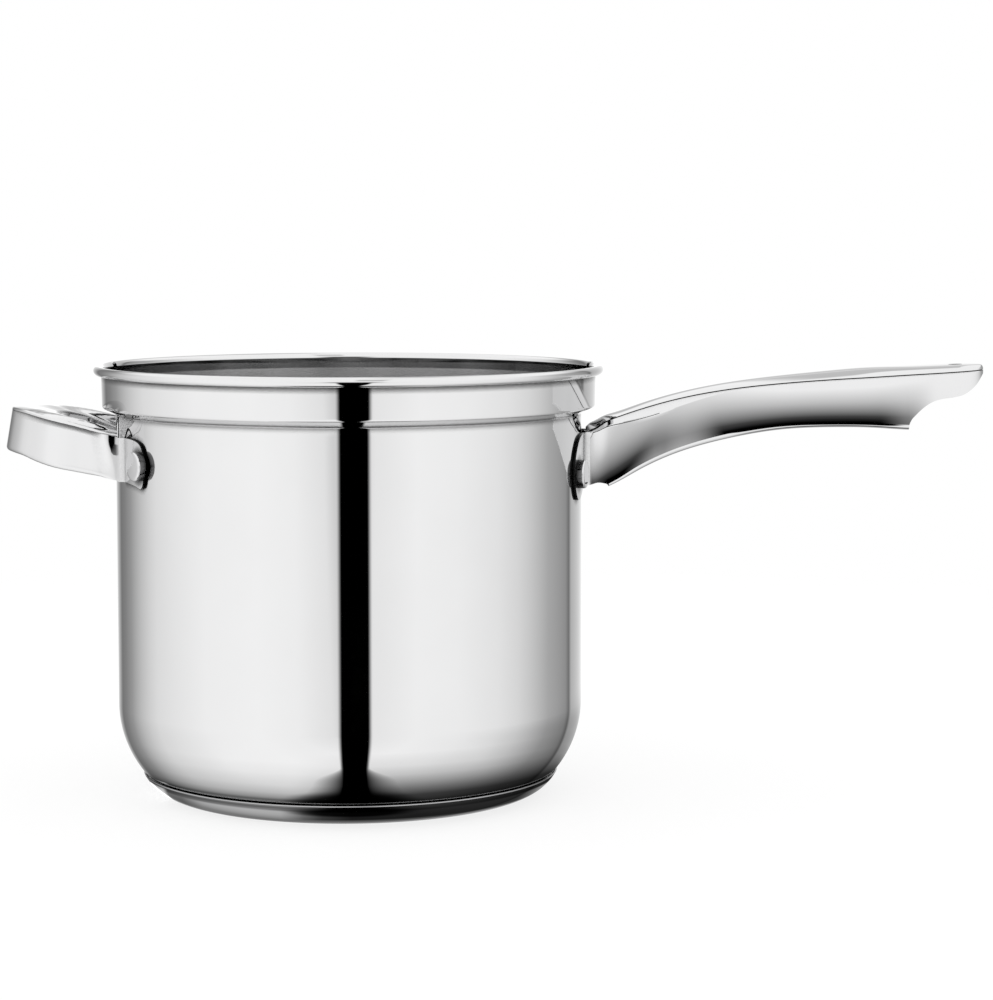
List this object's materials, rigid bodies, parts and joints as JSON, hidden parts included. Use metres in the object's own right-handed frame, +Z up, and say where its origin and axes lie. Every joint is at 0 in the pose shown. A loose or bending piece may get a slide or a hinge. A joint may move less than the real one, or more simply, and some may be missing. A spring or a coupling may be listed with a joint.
{
  "type": "pasta pot",
  "caption": "Tall polished steel pot with a stepped collar and rolled rim, a capped flat base, a long riveted handle and a short riveted helper handle opposite.",
  "frame": {"origin": "middle of the flat underside, on the pot's axis", "axes": "+Z up along the pot's axis, +X along the long handle"},
  "size_m": [0.4224, 0.2186, 0.1854],
  "materials": {
    "polished_steel": "mirror polished stainless steel",
    "cap_steel": "polished stainless steel, turned underneath",
    "rivet_steel": "polished stainless steel",
    "base_aluminium": "plain, enclosed by the cap"
  },
  "bodies": {
    "root": {"pot_body": "polished_steel", "base_core": "base_aluminium", "base_cap": "cap_steel", "long_handle_channel": "polished_steel", "long_handle_top_strip": "polished_steel", "long_handle_rivet_front": "rivet_steel", "long_handle_rivet_back": "rivet_steel", "helper_handle_strap": "polished_steel", "helper_handle_top_plate": "polished_steel", "helper_handle_rivet_front": "rivet_steel", "helper_handle_rivet_back": "rivet_steel"}
  },
  "joints": []
}
